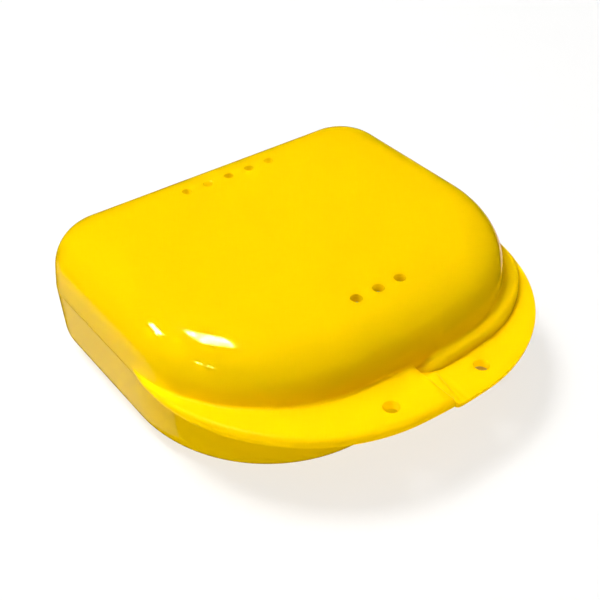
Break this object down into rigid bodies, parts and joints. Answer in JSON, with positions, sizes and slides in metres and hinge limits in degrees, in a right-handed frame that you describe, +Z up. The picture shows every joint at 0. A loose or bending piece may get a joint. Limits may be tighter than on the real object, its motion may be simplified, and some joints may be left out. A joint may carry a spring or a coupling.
{
  "type": "mouthguard with case",
  "caption": "Hinged, vented D-shaped case with a split finger tab at the front, holding a boil-and-bite arch mouthguard that lifts out.",
  "frame": {"origin": "on the surface that the case stands on, in the middle of its outer box", "axes": "+Z up, -Y towards the finger tabs at the front, +Y towards the hinge, +X to the right seen from the front"},
  "size_m": [0.0808, 0.0844, 0.0276],
  "materials": {
    "case_plastic": "high gloss injection moulding",
    "hinge_pin": "plain pin in the case's plastic",
    "guard_frame": "satin firm elastomer, white",
    "guard_liner": "soft bite liner, pale yellow"
  },
  "bodies": {
    "base": {"base_shell": "case_plastic", "hinge_pin_left": "hinge_pin", "hinge_pin_right": "hinge_pin"},
    "lid": {"lid_shell": "case_plastic"},
    "mouthguard": {"mouthguard_frame": "guard_frame", "mouthguard_liner": "guard_liner"}
  },
  "joints": [
    {"name": "lid_hinge", "type": "hinge", "parent": "base", "child": "lid", "pos_m": [0, 0.03985, 0.0156], "axis": [-1, 0, 0], "range_deg": [0, 180]},
    {"name": "mouthguard_lift", "type": "slide", "parent": "base", "child": "mouthguard", "axis": [0, 0, 1], "range_m": [0, 0.003]}
  ]
}
